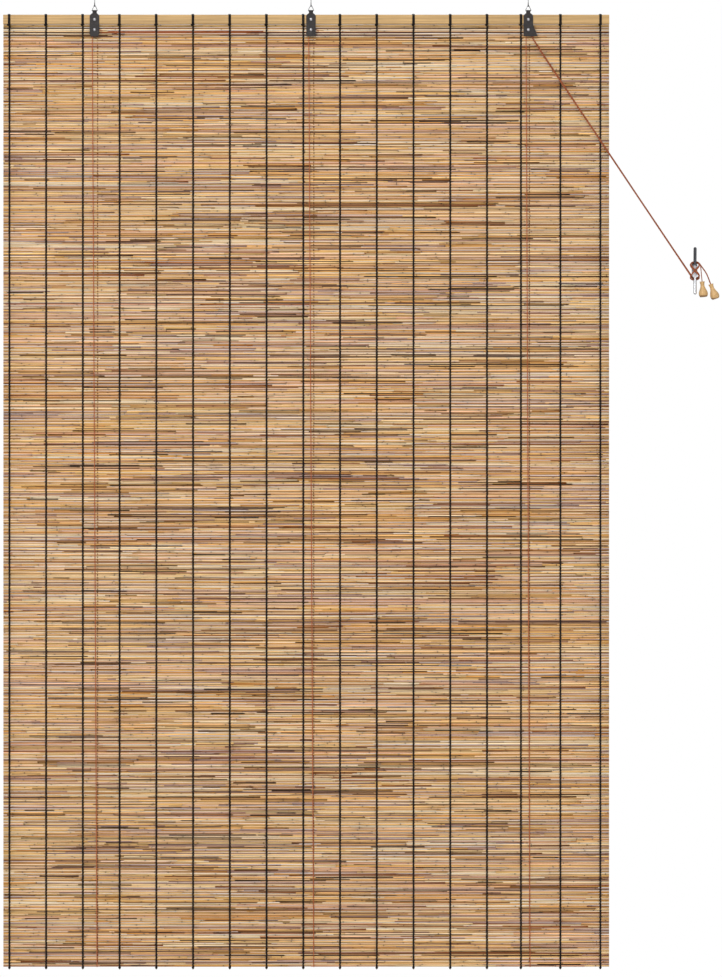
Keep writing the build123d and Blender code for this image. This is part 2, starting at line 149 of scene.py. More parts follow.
# ---- shader building -----------------------------------------------------------------
def rgb(red, green, blue):
    """A display colour, 0 to 255, as the linear colour that shaders take."""
    parts = [value / 255 for value in (red, green, blue)]
    linear = [p / 12.92 if p <= 0.04045 else ((p + 0.055) / 1.055) ** 2.4 for p in parts]
    return (*linear, 1.0)


def node(tree, kind, inputs=(), **settings):
    """Adds a node; an input is either a plain value or another node's output."""
    made = tree.nodes.new(kind)
    for key, value in settings.items():
        setattr(made, key, value)
    for key, value in dict(inputs).items():
        if isinstance(value, bpy.types.NodeSocket):
            tree.links.new(value, made.inputs[key])
        else:
            made.inputs[key].default_value = value
    return made


def calc(tree, operation, *values):
    """One step of arithmetic."""
    return node(tree, "ShaderNodeMath", dict(enumerate(values)), operation=operation).outputs[0]


def remap(tree, value, low, high, to_low, to_high):
    """Stretches a value from one range to another and holds it there."""
    inputs = {"Value": value, "From Min": low, "From Max": high,
              "To Min": to_low, "To Max": to_high}
    return node(tree, "ShaderNodeMapRange", inputs).outputs["Result"]


def blend_colour(tree, share, first, second, how="MIX"):
    """Mixes two colours."""
    inputs = {0: share, 6: first, 7: second}
    return node(tree, "ShaderNodeMix", inputs, data_type="RGBA", blend_type=how).outputs[2]


def shade_by(tree, colour, amount):
    """Multiplies a colour by a value."""
    return node(tree, "ShaderNodeVectorMath", {0: colour, 3: amount}, operation="SCALE").outputs[0]


def stretch(tree, vector, scale):
    """Scales a position by three factors."""
    inputs = {0: vector, 1: scale}
    return node(tree, "ShaderNodeVectorMath", inputs, operation="MULTIPLY").outputs[0]


def noise(tree, vector, scale, detail=3.0, roughness=0.55):
    """Cloudy noise at a position."""
    inputs = {"Vector": vector, "Scale": scale, "Detail": detail, "Roughness": roughness}
    return node(tree, "ShaderNodeTexNoise", inputs).outputs["Fac"]


def stored(tree, name, output="Vector"):
    """A value that a piece's mesh carries at each point."""
    return node(tree, "ShaderNodeAttribute", attribute_name=name).outputs[output]


def place(tree):
    """Position on the piece, in metres."""
    return node(tree, "ShaderNodeTexCoord").outputs["Object"]


def axis_value(tree, vector, axis):
    """One part of a vector."""
    return node(tree, "ShaderNodeSeparateXYZ", {0: vector}).outputs[axis]


def new_group(name, inputs, outputs):
    """An empty shader group with its named sockets."""
    tree = bpy.data.node_groups.new(name, "ShaderNodeTree")
    for label, kind, value in inputs:
        kind = "NodeSocket" + kind
        socket = tree.interface.new_socket(label, in_out="INPUT", socket_type=kind)
        if value is not None:
            socket.default_value = value
    for label in outputs:
        tree.interface.new_socket(label, in_out="OUTPUT", socket_type="NodeSocketFloat")
    return tree, node(tree, "NodeGroupInput"), node(tree, "NodeGroupOutput")


def use_group(tree, group, **inputs):
    """Places a shader group with its own values."""
    return node(tree, "ShaderNodeGroup", inputs, node_tree=group).outputs


def fibre_group():
    """Long streaks that run along X, as in reed and straight-grained wood."""
    sockets = [("Position", "Vector", None), ("Length", "Float", 0.05), ("Width", "Float", 0.0005)]
    tree, given, out = new_group("fibre streaks", sockets, ["Streak", "Height"])
    position = node(tree, "ShaderNodeSeparateXYZ", {0: given.outputs["Position"]}).outputs
    along = calc(tree, "DIVIDE", position[0], given.outputs["Length"])
    side = calc(tree, "DIVIDE", position[1], given.outputs["Width"])
    rise = calc(tree, "DIVIDE", position[2], given.outputs["Width"])
    spot = node(tree, "ShaderNodeCombineXYZ", {0: along, 1: side, 2: rise}).outputs[0]
    fine = noise(tree, spot, 1.0, 4.0, 0.62)
    tree.links.new(remap(tree, fine, 0.32, 0.68, 0.0, 1.0), out.inputs["Streak"])
    tree.links.new(fine, out.inputs["Height"])
    return tree


def lay_group():
    """The lay of a twisted or braided cord; Strand holds cosine, sine and distance along."""
    sockets = [("Strand", "Vector", None), ("Count", "Float", 2.0), ("Pitch", "Float", 0.004),
               ("Cross", "Float", 0.0)]
    tree, given, out = new_group("strand lay", sockets, ["Height", "Groove"])
    strand = node(tree, "ShaderNodeSeparateXYZ", {0: given.outputs["Strand"]}).outputs
    turn = calc(tree, "DIVIDE", calc(tree, "ARCTAN2", strand[1], strand[0]), 2 * math.pi)
    around = calc(tree, "MULTIPLY", turn, given.outputs["Count"])
    along = calc(tree, "DIVIDE", strand[2], given.outputs["Pitch"])
    ridges = []
    for direction in ("ADD", "SUBTRACT"):
        angle = calc(tree, "MULTIPLY", calc(tree, direction, around, along), math.pi)
        ridges.append(calc(tree, "ABSOLUTE", calc(tree, "SINE", angle)))
    inputs = {0: given.outputs["Cross"], 2: 1.0, 3: ridges[1]}
    crossed = node(tree, "ShaderNodeMix", inputs).outputs[0]
    height = calc(tree, "MULTIPLY", ridges[0], crossed)
    tree.links.new(height, out.inputs["Height"])
    # Groove is 1 in the hollows between strands; the cord materials use it for painted shade and
    # for roughness
    tree.links.new(remap(tree, height, 0.0, 0.55, 1.0, 0.0), out.inputs["Groove"])
    return tree


def handling_group():
    """Cloudy marks of dust and handling."""
    sockets = [("Position", "Vector", None), ("Size", "Float", 0.03)]
    tree, given, out = new_group("handling marks", sockets, ["Mask"])
    scale = calc(tree, "DIVIDE", 1.0, given.outputs["Size"])
    cloud = noise(tree, given.outputs["Position"], scale, 5.0, 0.65)
    tree.links.new(remap(tree, cloud, 0.42, 0.7, 0.0, 1.0), out.inputs["Mask"])
    return tree


def scratch_group():
    """Fine scratches and rubbed specks on metal and paint."""
    sockets = [("Position", "Vector", None), ("Size", "Float", 0.002)]
    tree, given, out = new_group("scratches", sockets, ["Mask", "Height"])
    scale = calc(tree, "DIVIDE", 1.0, given.outputs["Size"])
    inputs = {"Vector": given.outputs["Position"], "Angle": 0.5}
    slant = node(tree, "ShaderNodeVectorRotate", inputs, rotation_type="Y_AXIS").outputs[0]
    fine = noise(tree, stretch(tree, slant, (0.25, 1.0, 3.0)), scale, 4.0, 0.7)
    tree.links.new(remap(tree, fine, 0.6, 0.72, 0.0, 1.0), out.inputs["Mask"])
    tree.links.new(fine, out.inputs["Height"])
    return tree


FIBRE = fibre_group()
LAY = lay_group()
HANDLING = handling_group()
SCRATCH = scratch_group()


def new_material(name, **constants):
    """A material with its Principled shader; constants go straight on to its sockets."""
    material = bpy.data.materials.new(name)
    material.use_nodes = True
    tree = material.node_tree
    shader = tree.nodes["Principled BSDF"]
    for key, value in constants.items():
        shader.inputs[key.replace("_", " ")].default_value = value
    return material, tree, shader


def finish_material(tree, shader, colour, rough, height, depth, strength=1.0):
    """Joins a material's colour, roughness and surface height to its shader."""
    tree.links.new(colour, shader.inputs["Base Color"])
    tree.links.new(rough, shader.inputs["Roughness"])
    bump = node(tree, "ShaderNodeBump", {"Height": height, "Distance": depth, "Strength": strength})
    tree.links.new(bump.outputs["Normal"], shader.inputs["Normal"])


# ---- materials -----------------------------------------------------------------------
REED_RADIUS = 0.0017
RIM_TOP = 0.0055
RIM_FOOT = 0.0035
BEND_DARK_FROM = -0.0045
BEND_DARK_TO = -0.0085
UPPER_DARK_FROM = -0.006
UPPER_DARK_TO = 0.014
BRAID_PITCH = 0.0026
BRAID_WIDTH = 0.0020


def reed_material():
    """Dried reed: each stalk's own tone, long streaks, dark joints and painted shade on each
    stalk's upper and lower sides.
    """
    material, tree, shader = new_material("dried reed", Specular_IOR_Level=0.35)
    tone = stored(tree, "tone", "Color")
    strand = node(tree, "ShaderNodeSeparateXYZ", {0: stored(tree, "strand")}).outputs
    stalk = node(tree, "ShaderNodeSeparateXYZ", {0: stored(tree, "stalk")}).outputs
    seed, step, rise = stalk[0], stalk[1], stalk[2]
    shifted = calc(tree, "ADD", strand[2], calc(tree, "MULTIPLY", seed, 37.0))
    wide = calc(tree, "MULTIPLY", strand[0], REED_RADIUS)
    tall = calc(tree, "MULTIPLY_ADD", strand[1], REED_RADIUS, seed)
    spot = node(tree, "ShaderNodeCombineXYZ", {0: shifted, 1: wide, 2: tall}).outputs[0]
    streak = use_group(tree, FIBRE, Position=spot, Length=0.045, Width=0.0007)
    cloud = use_group(tree, FIBRE, Position=spot, Length=0.11, Width=0.004)
    lift = remap(tree, streak["Streak"], 0.0, 1.0, 0.86, 1.12)
    patch = remap(tree, cloud["Streak"], 0.0, 1.0, 0.78, 1.16)
    steps = calc(tree, "FRACT", calc(tree, "DIVIDE", strand[2], step))
    near = calc(tree, "MULTIPLY", calc(tree, "ABSOLUTE", calc(tree, "SUBTRACT", steps, 0.5)), step)
    joint = remap(tree, near, 0.0006, 0.0016, 1.0, 0.0)
    sleeve = remap(tree, near, 0.0, 0.014, 0.82, 1.0)
    # painted shade: each stalk darkens strongly towards its lower side and less towards its upper
    # side, where it meets its neighbours
    under = remap(tree, rise, -0.95, -0.15, 0.06, 1.0)
    over = remap(tree, rise, 0.5, 1.0, 1.0, 0.5)
    shaded = calc(tree, "MULTIPLY", under, over)
    colour = shade_by(tree, tone, calc(tree, "MULTIPLY", lift, patch))
    colour = shade_by(tree, colour, calc(tree, "MULTIPLY", sleeve, shaded))
    colour = blend_colour(tree, calc(tree, "MULTIPLY", joint, 0.75), colour, rgb(70, 44, 24))
    rough = remap(tree, streak["Streak"], 0.0, 1.0, 0.62, 0.44)
    height = calc(tree, "ADD", streak["Height"], calc(tree, "MULTIPLY", joint, 0.8))
    finish_material(tree, shader, colour, rough, height, 0.00025, 0.7)
    return material


def grained_wood(name, light, dark, turn=None, rim_z=None):
    """Straight-grained wood; turn makes the grain run up a knob, and rim_z is a knob's foot."""
    material, tree, shader = new_material(name, Specular_IOR_Level=0.4)
    spot = place(tree)
    if turn:
        spot = node(tree, "ShaderNodeVectorRotate", {"Vector": spot, "Angle": turn},
                    rotation_type="Y_AXIS").outputs[0]
    grain = use_group(tree, FIBRE, Position=spot, Length=0.16, Width=0.0011)
    pores = use_group(tree, FIBRE, Position=spot, Length=0.02, Width=0.0004)
    bands = use_group(tree, FIBRE, Position=spot, Length=0.3, Width=0.0034)
    marks = use_group(tree, HANDLING, Position=spot, Size=0.09)
    colour = blend_colour(tree, grain["Streak"], dark, light)
    colour = shade_by(tree, colour, remap(tree, bands["Streak"], 0.0, 1.0, 0.8, 1.16))
    colour = shade_by(tree, colour, remap(tree, pores["Streak"], 0.0, 1.0, 0.93, 1.04))
    colour = shade_by(tree, colour, remap(tree, marks["Mask"], 0.0, 1.0, 1.02, 0.92))
    if rim_z is not None:
        low = axis_value(tree, place(tree), 2)
        band = remap(tree, low, rim_z + RIM_TOP, rim_z + RIM_FOOT, 0.0, 0.8)
        colour = blend_colour(tree, band, colour, rgb(112, 78, 44))
    rough = remap(tree, pores["Streak"], 0.0, 1.0, 0.55, 0.38)
    finish_material(tree, shader, colour, rough, pores["Height"], 0.0003, 0.5)
    return material


def strand_cord(name, light, dark, count, pitch, cross, depth, sheen):
    """Twisted or braided cord on pieces that carry their own strand positions."""
    material, tree, shader = new_material(name, Specular_IOR_Level=0.25, Sheen_Weight=sheen)
    strand = stored(tree, "strand")
    lay = use_group(tree, LAY, Strand=strand, Count=count, Pitch=pitch, Cross=cross)
    dust = use_group(tree, HANDLING, Position=place(tree), Size=0.02)
    # painted shade: the colour darkens into the grooves between strands
    colour = blend_colour(tree, lay["Groove"], light, dark)
    colour = shade_by(tree, colour, remap(tree, dust["Mask"], 0.0, 1.0, 0.92, 1.15))
    rough = remap(tree, lay["Groove"], 0.0, 1.0, 0.72, 0.95)
    finish_material(tree, shader, colour, rough, lay["Height"], depth, 0.9)
    return material


def run_cord():
    """The rust braid on the long runs up and down the mat."""
    constants = {"Specular_IOR_Level": 0.25, "Sheen_Weight": 0.3}
    material, tree, shader = new_material("rust lift cord", **constants)
    spot = node(tree, "ShaderNodeSeparateXYZ", {0: place(tree)}).outputs
    along = calc(tree, "DIVIDE", calc(tree, "ADD", spot[2], spot[0]), BRAID_PITCH)
    across = calc(tree, "DIVIDE", calc(tree, "ADD", spot[0], spot[1]), BRAID_WIDTH)
    ridges = []
    for direction in ("ADD", "SUBTRACT"):
        angle = calc(tree, "MULTIPLY", calc(tree, direction, along, across), math.pi)
        ridges.append(calc(tree, "ABSOLUTE", calc(tree, "SINE", angle)))
    height = calc(tree, "MULTIPLY", ridges[0], ridges[1])
    groove = remap(tree, height, 0.0, 0.5, 1.0, 0.0)
    # painted shade: the colour darkens into the grooves of the braid
    colour = blend_colour(tree, groove, rgb(188, 100, 50), rgb(124, 60, 28))
    rough = remap(tree, groove, 0.0, 1.0, 0.7, 0.92)
    finish_material(tree, shader, colour, rough, height, 0.0002, 0.9)
    return material


def plain_metal(name, bright, dull, low_rough, high_rough):
    """Plated or polished metal with dulled patches and fine scratches."""
    material, tree, shader = new_material(name, Metallic=1.0)
    spot = place(tree)
    marks = use_group(tree, HANDLING, Position=spot, Size=0.012)
    scratch = use_group(tree, SCRATCH, Position=spot, Size=0.0016)
    colour = blend_colour(tree, marks["Mask"], bright, dull)
    colour = blend_colour(tree, calc(tree, "MULTIPLY", scratch["Mask"], 0.35), colour, bright)
    rough = remap(tree, marks["Mask"], 0.0, 1.0, low_rough, high_rough)
    finish_material(tree, shader, colour, rough, scratch["Height"], 0.00008, 0.6)
    return material


def bracket_paint():
    """Dark paint on steel strip, rubbed through to metal in specks."""
    material, tree, shader = new_material("bracket paint", Specular_IOR_Level=0.3)
    spot = place(tree)
    marks = use_group(tree, HANDLING, Position=spot, Size=0.01)
    scratch = use_group(tree, SCRATCH, Position=spot, Size=0.0022)
    rubbed = calc(tree, "MULTIPLY", scratch["Mask"], marks["Mask"])
    colour = blend_colour(tree, marks["Mask"], rgb(34, 30, 30), rgb(48, 43, 42))
    colour = blend_colour(tree, rubbed, colour, rgb(150, 148, 146))
    tree.links.new(calc(tree, "MULTIPLY", rubbed, 0.8), shader.inputs["Metallic"])
    rough = remap(tree, marks["Mask"], 0.0, 1.0, 0.48, 0.66)
    finish_material(tree, shader, colour, rough, scratch["Height"], 0.0001, 0.5)
    return material


def hook_metal():
    """Plated screw hook, bright on its shank and near black towards its bend."""
    material, tree, shader = new_material("hook steel", Metallic=1.0)
    spot = place(tree)
    height = axis_value(tree, spot, 2)
    marks = use_group(tree, HANDLING, Position=spot, Size=0.008)
    scratch = use_group(tree, SCRATCH, Position=spot, Size=0.0014)
    ragged = calc(tree, "MULTIPLY_ADD", marks["Mask"], 0.002, height)
    # the colour runs from bright steel on the shank to near black towards the bend
    bend_dark = remap(tree, ragged, BEND_DARK_FROM, BEND_DARK_TO, 0.0, 1.0)
    colour = blend_colour(tree, bend_dark, rgb(186, 186, 188), rgb(26, 26, 28))
    rough = remap(tree, bend_dark, 0.0, 1.0, 0.3, 0.6)
    finish_material(tree, shader, colour, rough, scratch["Height"], 0.00005, 0.5)
    return material


def cleat_metal():
    """Polished casting, darker on its upper horn and brighter on its lower horn."""
    material, tree, shader = new_material("cleat metal", Metallic=1.0)
    spot = place(tree)
    height = axis_value(tree, spot, 2)
    marks = use_group(tree, HANDLING, Position=spot, Size=0.014)
    scratch = use_group(tree, SCRATCH, Position=spot, Size=0.0014)
    ragged = calc(tree, "MULTIPLY_ADD", marks["Mask"], 0.008, height)
    start, stop = cleat_centre.z + UPPER_DARK_FROM, cleat_centre.z + UPPER_DARK_TO
    # darker towards the upper horn, bright on the lower horn
    upper = remap(tree, ragged, start, stop, 0.0, 1.0)
    colour = blend_colour(tree, upper, rgb(206, 207, 210), rgb(84, 85, 89))
    colour = shade_by(tree, colour, remap(tree, marks["Mask"], 0.0, 1.0, 1.0, 0.95))
    rough = remap(tree, upper, 0.0, 1.0, 0.34, 0.42)
    finish_material(tree, shader, colour, rough, scratch["Height"], 0.000005, 0.2)
    return material


def sheave_plastic():
    """Moulded dark plastic."""
    material, tree, shader = new_material("sheave plastic", Specular_IOR_Level=0.45)
    marks = use_group(tree, HANDLING, Position=place(tree), Size=0.006)
    colour = blend_colour(tree, marks["Mask"], rgb(40, 40, 42), rgb(64, 62, 60))
    rough = remap(tree, marks["Mask"], 0.0, 1.0, 0.42, 0.6)
    finish_material(tree, shader, colour, rough, marks["Mask"], 0.00003, 0.4)
    return material


def floor_material():
    """Plain pale floor."""
    material, tree, shader = new_material("pale floor", Specular_IOR_Level=0.2)
    cloud = noise(tree, place(tree), 3.0)
    colour = blend_colour(tree, cloud, rgb(232, 231, 229), rgb(240, 239, 237))
    tree.links.new(colour, shader.inputs["Base Color"])
    shader.inputs["Roughness"].default_value = 0.8
    return material


# ---- meshes --------------------------------------------------------------------------
class Skin:
    """Gathers many closed tubes into one mesh, with what each point carries."""

    def __init__(self, sides):
        self.sides = sides
        self.points = []
        self.faces = []
        self.caps = []
        self.carried = {}
        self.count = 0

    def add(self, rings, carried):
        """Adds one tube from its rings of points, shaped (rings, sides, 3), and caps its ends."""
        rows, sides = rings.shape[:2]
        index = np.arange(rows * sides).reshape(rows, sides) + self.count
        after = np.roll(index, -1, axis=1)
        quads = np.stack([index[:-1], index[1:], after[1:], after[:-1]], axis=-1)
        self.points.append(rings.reshape(-1, 3))
        self.faces.append(quads.reshape(-1, 4))
        self.caps.append(index[0].tolist())
        self.caps.append(index[-1][::-1].tolist())
        for name, values in carried.items():
            self.carried.setdefault(name, []).append(values.reshape(rows * sides, -1))
        self.count += rows * sides

    def piece(self, name, material):
        """The finished object."""
        mesh = bpy.data.meshes.new(name)
        faces = np.concatenate(self.faces).tolist() + self.caps
        mesh.from_pydata(np.concatenate(self.points).tolist(), [], faces)
        for label, values in self.carried.items():
            values = np.concatenate(values).astype(np.float32)
            if label == "tone":
                layer = mesh.color_attributes.new(label, "FLOAT_COLOR", "POINT")
                layer.data.foreach_set("color", values.ravel())
            else:
                layer = mesh.attributes.new(label, "FLOAT_VECTOR", "POINT")
                layer.data.foreach_set("vector", values.ravel())
        smooth = np.ones(len(faces), bool)
        smooth[-len(self.caps):] = False
        mesh.polygons.foreach_set("use_smooth", smooth)
        mesh.materials.append(material)
        mesh.update()
        made = bpy.data.objects.new(name, mesh)
        bpy.context.scene.collection.objects.link(made)
        return made


def ring_angles(sides):
    """Angles of a ring's points, none of them at the very front."""
    return (np.arange(sides) + 0.5) * 2 * math.pi / sides


def sweep(skin, path, radii, hint=(1.0, 0.0, 0.0)):
    """Adds a round tube along a path to a skin; the frame is carried along without twist."""
    path = np.asarray(path, float)
    radii = np.broadcast_to(np.asarray(radii, float), (len(path),))
    ahead = np.gradient(path, axis=0)
    ahead /= np.linalg.norm(ahead, axis=1)[:, None]
    side = np.zeros_like(path)
    start = np.asarray(hint, float) - ahead[0] * np.dot(hint, ahead[0])
    side[0] = start / np.linalg.norm(start)
    for number in range(1, len(path)):
        carried = side[number - 1] - ahead[number] * np.dot(side[number - 1], ahead[number])
        side[number] = carried / np.linalg.norm(carried)
    other = np.cross(ahead, side)
    angles = ring_angles(skin.sides)
    wide = np.cos(angles)[None, :, None] * side[:, None, :]
    tall = np.sin(angles)[None, :, None] * other[:, None, :]
    rings = path[:, None, :] + radii[:, None, None] * (wide + tall)
    travel = np.concatenate([[0.0], np.cumsum(np.linalg.norm(np.diff(path, axis=0), axis=1))])
    strand = np.zeros(rings.shape)
    strand[..., 0] = np.cos(angles)
    strand[..., 1] = np.sin(angles)
    strand[..., 2] = travel[:, None]
    skin.add(rings, {"strand": strand})


def route_points(name, points):
    """Points read along the smooth spline that has a cord's route as its control points."""
    data = bpy.data.curves.new(name, "CURVE")
    data.dimensions = "3D"
    data.resolution_u = 8
    spline = data.splines.new("NURBS")
    spline.points.add(len(points) - 1)
    for place_on, point in zip(spline.points, points):
        place_on.co = (*point, 1.0)
    spline.order_u = 3
    spline.use_endpoint_u = True
    curve = bpy.data.objects.new(name, data)
    bpy.context.scene.collection.objects.link(curve)
    bpy.context.view_layer.update()
    line = bpy.data.meshes.new_from_object(curve)
    found = [vertex.co.copy() for vertex in line.vertices]
    bpy.data.objects.remove(curve)
    bpy.data.meshes.remove(line)
    return found


def even_steps(path, step):
    """The same path with points an even step apart."""
    path = np.asarray(path, float)
    travel = np.concatenate([[0.0], np.cumsum(np.linalg.norm(np.diff(path, axis=0), axis=1))])
    wanted = np.linspace(0.0, travel[-1], max(2, round(travel[-1] / step)))
    return np.stack([np.interp(wanted, travel, path[:, axis]) for axis in range(3)], axis=1)


# ---- the pull cords ------------------------------------------------------------------
CORD = 2.0 * MM
TWIN = 2.8 * MM
SINGLE_RADIUS = 1.12 * MM
PLY_RADIUS = 0.86 * MM
PLY_OFFSET = 0.70 * MM
PATH_STEP = 1.6 * MM
TWIN_SWAY = 40 * MM
LANDING_GAP = 40 * MM
BEHIND_HORN = 8.4


def figure_eight(shift_x, shift_z, wide, tall, front):
    """About one and three quarter turns of a figure of eight round the cleat's horns."""
    first, last, step = 36, 672, 12
    points = []
    for degrees in range(first, last + step, step):
        angle = math.radians(-degrees)
        turns = degrees / 360
        rise = (tall + 1.3 * turns) * math.sin(angle)
        reach = (wide + 0.4 * turns) * math.sin(2 * angle)
        behind = math.sin(angle) ** 2
        behind = behind * behind * (3 - 2 * behind)
        layer = front - 4.0 * max(0.0, turns - 0.5)
        depth = layer + (BEHIND_HORN - layer) * behind
        points.append((cleat_x + shift_x + reach, depth, cleat_z + shift_z + rise))
    return points


single_route = [
    (right_station + 7.8, -4.9, top - 51.4),
    (right_station + 16.6, -6.2, top - 66.2),
    (right_station + 39.8, -8.4, top - 104.0),
    (cleat_x - 11.7, -5.0, cleat_z - 9.9),
    *figure_eight(-0.5, -1.0, 10.2, 18.6, -2.0),
    (cleat_x + 11.9, 1.0, cleat_z + 13.6),
    (cleat_x + 13.6, 1.8, cleat_z + 6.4),
    (cleat_x + 14.8, 3.6, cleat_z - 8.0),
    (cleat_x + 18.9, 3.6, cleat_z - 48.3),
]
pair_route = [
    (right_station + 10.4, -2.1, top - 55.2),
    (right_station + 18.2, -3.8, top - 66.0),
    (right_station + 41.4, -6.0, top - 103.0),
    (cleat_x - 11.5, -2.6, cleat_z - 8.2),
    *figure_eight(0.4, 1.6, 9.0, 17.6, -2.4),
    (cleat_x + 10.4, 5.0, cleat_z + 17.2),
    (cleat_x + 16.2, 5.4, cleat_z + 9.0),
    (cleat_x + 25.0, 5.8, cleat_z - 2.6),
    (cleat_x + 31.4, 6.0, cleat_z - 15.6),
    (cleat_x + 44.4, 6.0, cleat_z - 53.1),
]


def pull_cord(name, route, radius, offset, material):
    """One whole pull cord, from the bracket round the cleat to its knob.

    With an offset it is two plies side by side, each that far from the middle.
    """
    path = even_steps(route_points(name, metres(route)), PATH_STEP)
    skin = Skin(8)
    if not offset:
        sweep(skin, path, radius)
        return skin.piece(name, material), path
    ahead = np.gradient(path, axis=0)
    ahead /= np.linalg.norm(ahead, axis=1)[:, None]
    side = np.cross(ahead, (0.0, 1.0, 0.0))
    side /= np.linalg.norm(side, axis=1)[:, None]
    other = np.cross(ahead, side)
    lean = np.sin(np.arange(len(path)) * PATH_STEP / TWIN_SWAY) * 0.5
    away = np.cos(lean)[:, None] * side + np.sin(lean)[:, None] * other
    for ply in (-1, 1):
        sweep(skin, path + ply * offset * away, radius)
    return skin.piece(name, material), path


# ---- reeds ---------------------------------------------------------------------------
# share of the stalks, and their colour
REED_TONES = (
    (14, (238, 182, 114)),
    (17, (255, 202, 124)),
    (11, (228, 166, 90)),
    (14, (255, 214, 152)),
    (9, (248, 194, 148)),
    (8, (208, 152, 114)),
    (13, (178, 138, 120)),
    (11, (255, 226, 182)),
    (4, (158, 110, 78)),
    (6, (208, 142, 66)),
    (3, (144, 80, 32)),
)
# dark reed splinters over the gaps between stalks, partly painted shade in those gaps: share and
# colour
SPLINTER_AND_GAP_SHADE_TONES = (
    (4, (60, 32, 12)),
    (3, (98, 56, 24)),
    (3, (38, 20, 10)),
    (2, (140, 82, 36)),
    (2, (112, 88, 76)),
)
# the stalks just under the rail: row and lane, then each one's start, stop and colour
CHOSEN_STALKS = {
    (0, 0): ((-0.72, -0.25, (240, 196, 128)), (-0.26, 0.13, (250, 206, 134)),
             (0.12, 0.70, (242, 200, 136))),
    (0, 1): ((-0.72, -0.30, (226, 174, 100)), (-0.31, 0.40, (232, 184, 112)),
             (0.39, 0.70, (228, 180, 116))),
    (1, 0): ((-0.72, -0.47, (70, 42, 20)), (-0.48, -0.36, (150, 86, 40)),
             (-0.37, 0.02, (176, 122, 66)), (0.01, 0.30, (120, 70, 34)),
             (0.29, 0.42, (66, 36, 18)), (0.41, 0.70, (190, 134, 78))),
    (1, 1): ((-0.72, 0.10, (252, 226, 184)), (0.09, 0.70, (253, 222, 180))),
    (2, 0): ((-0.72, -0.47, (236, 196, 140)), (-0.49, -0.10, (178, 94, 40)),
             (-0.11, 0.15, (246, 208, 160)), (0.14, 0.70, (238, 192, 140))),
    (2, 1): ((-0.72, -0.47, (112, 74, 38)), (-0.49, -0.14, (168, 86, 36)),
             (-0.15, 0.24, (110, 50, 28)), (0.23, 0.70, (86, 40, 24))),
    (3, 0): ((-0.72, -0.46, (244, 210, 160)), (-0.47, -0.42, (96, 56, 28)),
             (-0.43, -0.12, (214, 162, 110)), (-0.13, 0.70, (253, 224, 186))),
    (3, 1): ((-0.72, -0.47, (100, 66, 36)), (-0.48, -0.2, (196, 156, 108)),
             (-0.21, 0.28, (120, 86, 70)), (0.27, 0.70, (176, 136, 100))),
}
CHOSEN_ROWS = 4
ROW_WANDER = 0.55 * MM
MAT_PIECES = 5
RING_STEP = 0.09
STALK_DEPTH = 1.8 * MM
SHORTEST_STALK = 0.004
# the middle and the spread of the logarithm of a length in metres
STALK_LENGTHS = (-1.5, 0.65)
SPLINTER_AND_GAP_SHADE_LENGTHS = (-1.9, 0.6)
SPLINTERS_AND_GAP_SHADES_IN_A_ROW = (1, 2, 3, 3, 4, 5)
# how far back from the mat's middle each layer of stalks lies
FRONT_LAYER = -0.35 * MM
BACK_LAYER = 0.5 * MM
SPLINTER_AND_GAP_SHADE_LAYER = -1.1 * MM
HIDDEN_LAYER = 2.2 * MM


def pick_tone(dice, tones=REED_TONES):
    """A stalk's colour, a little off its kind's."""
    shares = [share for share, _ in tones]
    base = dice.choices([tone for _, tone in tones], shares)[0]
    lift = dice.uniform(0.9, 1.09)
    warmth = dice.uniform(-5, 5)
    parts = np.array((base[0] * lift + warmth, base[1] * lift, base[2] * lift - warmth))
    parts *= min(1.0, 250 / parts.max())
    return np.array(rgb(*np.maximum(parts, 8)))


def add_stalk(skin, dice, start, stop, upper, lower, y, tones=REED_TONES):
    """One reed between two heights, thicker at its root, with its streaks, joints and tone."""
    flip = dice.random() < 0.5
    number = max(2, round((stop - start) / RING_STEP)) + 1
    x = np.linspace(start, stop, number)
    share = np.linspace(0.0, 1.0, number)
    if flip:
        share = 1.0 - share
    slack = 1.0 - share * dice.uniform(0.05, 0.3)
    wander = dice.uniform(0.0, 0.16) * MM * np.sin(x * dice.uniform(9, 22) + dice.uniform(0, 6))
    half = (upper(x) - lower(x)) / 2 * slack
    centre = (upper(x) + lower(x)) / 2 + wander
    deep = np.minimum(half, STALK_DEPTH)
    angles = ring_angles(skin.sides)
    rings = np.zeros((number, skin.sides, 3))
    rings[..., 0] = x[:, None]
    rings[..., 1] = (y + wander)[:, None] - deep[:, None] * np.cos(angles)[None, :]
    rings[..., 2] = centre[:, None] + half[:, None] * np.sin(angles)[None, :]
    strand = np.zeros(rings.shape)
    strand[..., 0] = np.cos(angles)
    strand[..., 1] = np.sin(angles)
    strand[..., 2] = x[:, None] - start + dice.uniform(0.0, 0.2)
    stalk = np.zeros(rings.shape)
    stalk[..., 0] = dice.random()
    stalk[..., 1] = dice.uniform(0.09, 0.26)
    # how high round the stalk each point lies, which the reed material turns into painted shade
    stalk[..., 2] = np.sin(angles)
    root, tip = pick_tone(dice, tones), pick_tone(dice, tones)
    tone = root + (tip - root) * 0.35 * share[:, None]
    tone = np.broadcast_to(tone[:, None, :], (number, skin.sides, 4))
    skin.add(rings, {"strand": strand, "stalk": stalk, "tone": tone})


def level_line(dice, height, spread):
    """A line across the mat that wanders a little from its height."""
    knots = np.linspace(mat_low.x, mat_high.x, 9)
    levels = height + np.array([dice.uniform(-spread, spread) for _ in knots])
    return lambda x: np.interp(x, knots, levels)


def between(upper, lower, share):
    """A line part of the way down from one line to another."""
    return lambda x: upper(x) + (lower(x) - upper(x)) * share


